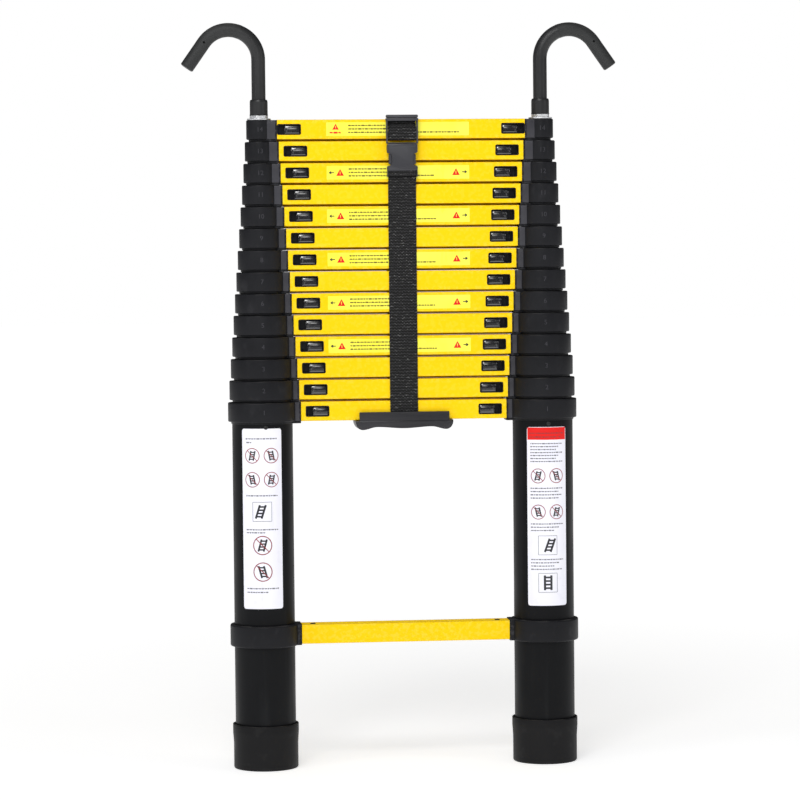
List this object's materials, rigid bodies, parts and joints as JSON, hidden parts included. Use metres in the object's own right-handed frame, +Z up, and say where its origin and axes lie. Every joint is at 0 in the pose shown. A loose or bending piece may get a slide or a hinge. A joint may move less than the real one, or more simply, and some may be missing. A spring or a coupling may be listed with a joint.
{
  "type": "telescoping ladder",
  "caption": "Collapsed telescoping ladder: nested round tubes, box-section rungs with thumb latches, swivelling top hooks, carry handle and buckled webbing strap.",
  "frame": {"origin": "centre of the footprint on the plane of the two foot soles", "axes": "+Z up along the tubes, -Y the front with the latches and the buckle, +X to the right seen from the front"},
  "size_m": [0.5872, 0.0926, 0.9996],
  "materials": {
    "black_rubber": "moulded, matte",
    "black_nylon": "moulded, fine grain",
    "black_painted_alloy": "black paint on the tube, moulded nylon collar",
    "yellow_painted_alloy": "smooth yellow paint",
    "zinc_plated_steel": "bright zinc plate",
    "black_coated_steel": "black coating with a rubber sleeve",
    "black_webbing": "woven polypropylene webbing"
  },
  "bodies": {
    "base": {"foot_left": "black_rubber", "foot_right": "black_rubber", "bottom_bracket_left": "black_nylon", "bottom_bracket_right": "black_nylon", "rung_01": "yellow_painted_alloy", "rung_02": "yellow_painted_alloy", "stile_01_left": "black_painted_alloy", "stile_01_right": "black_painted_alloy", "carry_handle": "black_nylon", "strap_lower": "black_webbing", "buckle_socket": "black_nylon"},
    "section_02": {"stile_02_left": "black_painted_alloy", "stile_02_right": "black_painted_alloy", "rung_03": "yellow_painted_alloy"},
    "section_03": {"stile_03_left": "black_painted_alloy", "stile_03_right": "black_painted_alloy", "rung_04": "yellow_painted_alloy"},
    "section_04": {"stile_04_left": "black_painted_alloy", "stile_04_right": "black_painted_alloy", "rung_05": "yellow_painted_alloy"},
    "section_05": {"stile_05_left": "black_painted_alloy", "stile_05_right": "black_painted_alloy", "rung_06": "yellow_painted_alloy"},
    "section_06": {"stile_06_left": "black_painted_alloy", "stile_06_right": "black_painted_alloy", "rung_07": "yellow_painted_alloy"},
    "section_07": {"stile_07_left": "black_painted_alloy", "stile_07_right": "black_painted_alloy", "rung_08": "yellow_painted_alloy"},
    "section_08": {"stile_08_left": "black_painted_alloy", "stile_08_right": "black_painted_alloy", "rung_09": "yellow_painted_alloy"},
    "section_09": {"stile_09_left": "black_painted_alloy", "stile_09_right": "black_painted_alloy", "rung_10": "yellow_painted_alloy"},
    "section_10": {"stile_10_left": "black_painted_alloy", "stile_10_right": "black_painted_alloy", "rung_11": "yellow_painted_alloy"},
    "section_11": {"stile_11_left": "black_painted_alloy", "stile_11_right": "black_painted_alloy", "rung_12": "yellow_painted_alloy"},
    "section_12": {"stile_12_left": "black_painted_alloy", "stile_12_right": "black_painted_alloy", "rung_13": "yellow_painted_alloy"},
    "section_13": {"stile_13_left": "black_painted_alloy", "stile_13_right": "black_painted_alloy", "rung_14": "yellow_painted_alloy"},
    "section_14": {"stile_14_left": "black_painted_alloy", "stile_14_right": "black_painted_alloy", "rung_15": "yellow_painted_alloy", "strap_upper": "black_webbing", "buckle_plug": "black_nylon", "hook_nut_left": "zinc_plated_steel", "hook_nut_right": "zinc_plated_steel"},
    "left_hook": {"hook_left": "black_coated_steel"},
    "right_hook": {"hook_right": "black_coated_steel"},
    "thumb_latch_02_left": {"latch_02_left": "black_nylon"},
    "thumb_latch_02_right": {"latch_02_right": "black_nylon"},
    "thumb_latch_03_left": {"latch_03_left": "black_nylon"},
    "thumb_latch_03_right": {"latch_03_right": "black_nylon"}
  },
  "joints": [
    {"name": "extend_02", "type": "slide", "parent": "base", "child": "section_02", "axis": [0, 0, 1], "range_m": [0, 0.271]},
    {"name": "extend_03", "type": "slide", "parent": "section_02", "child": "section_03", "axis": [0, 0, 1], "range_m": [0, 0.271]},
    {"name": "extend_04", "type": "slide", "parent": "section_03", "child": "section_04", "axis": [0, 0, 1], "range_m": [0, 0.271]},
    {"name": "extend_05", "type": "slide", "parent": "section_04", "child": "section_05", "axis": [0, 0, 1], "range_m": [0, 0.271]},
    {"name": "extend_06", "type": "slide", "parent": "section_05", "child": "section_06", "axis": [0, 0, 1], "range_m": [0, 0.271]},
    {"name": "extend_07", "type": "slide", "parent": "section_06", "child": "section_07", "axis": [0, 0, 1], "range_m": [0, 0.271]},
    {"name": "extend_08", "type": "slide", "parent": "section_07", "child": "section_08", "axis": [0, 0, 1], "range_m": [0, 0.271]},
    {"name": "extend_09", "type": "slide", "parent": "section_08", "child": "section_09", "axis": [0, 0, 1], "range_m": [0, 0.271]},
    {"name": "extend_10", "type": "slide", "parent": "section_09", "child": "section_10", "axis": [0, 0, 1], "range_m": [0, 0.271]},
    {"name": "extend_11", "type": "slide", "parent": "section_10", "child": "section_11", "axis": [0, 0, 1], "range_m": [0, 0.271]},
    {"name": "extend_12", "type": "slide", "parent": "section_11", "child": "section_12", "axis": [0, 0, 1], "range_m": [0, 0.271]},
    {"name": "extend_13", "type": "slide", "parent": "section_12", "child": "section_13", "axis": [0, 0, 1], "range_m": [0, 0.271]},
    {"name": "extend_14", "type": "slide", "parent": "section_13", "child": "section_14", "axis": [0, 0, 1], "range_m": [0, 0.271]},
    {"name": "left_hook_swivel", "type": "hinge", "parent": "section_14", "child": "left_hook", "pos_m": [-0.19, 0, 0.9], "axis": [0, 0, 1], "range_deg": [-90, 90]},
    {"name": "right_hook_swivel", "type": "hinge", "parent": "section_14", "child": "right_hook", "pos_m": [0.19, 0, 0.9], "axis": [0, 0, 1], "range_deg": [-90, 90]},
    {"name": "latch_02_left_slide", "type": "slide", "parent": "base", "child": "thumb_latch_02_left", "axis": [-1, 0, 0], "range_m": [0, 0.008]},
    {"name": "latch_02_right_slide", "type": "slide", "parent": "base", "child": "thumb_latch_02_right", "axis": [1, 0, 0], "range_m": [0, 0.008]},
    {"name": "latch_03_left_slide", "type": "slide", "parent": "section_02", "child": "thumb_latch_03_left", "axis": [-1, 0, 0], "range_m": [0, 0.008]},
    {"name": "latch_03_right_slide", "type": "slide", "parent": "section_02", "child": "thumb_latch_03_right", "axis": [1, 0, 0], "range_m": [0, 0.008]}
  ]
}
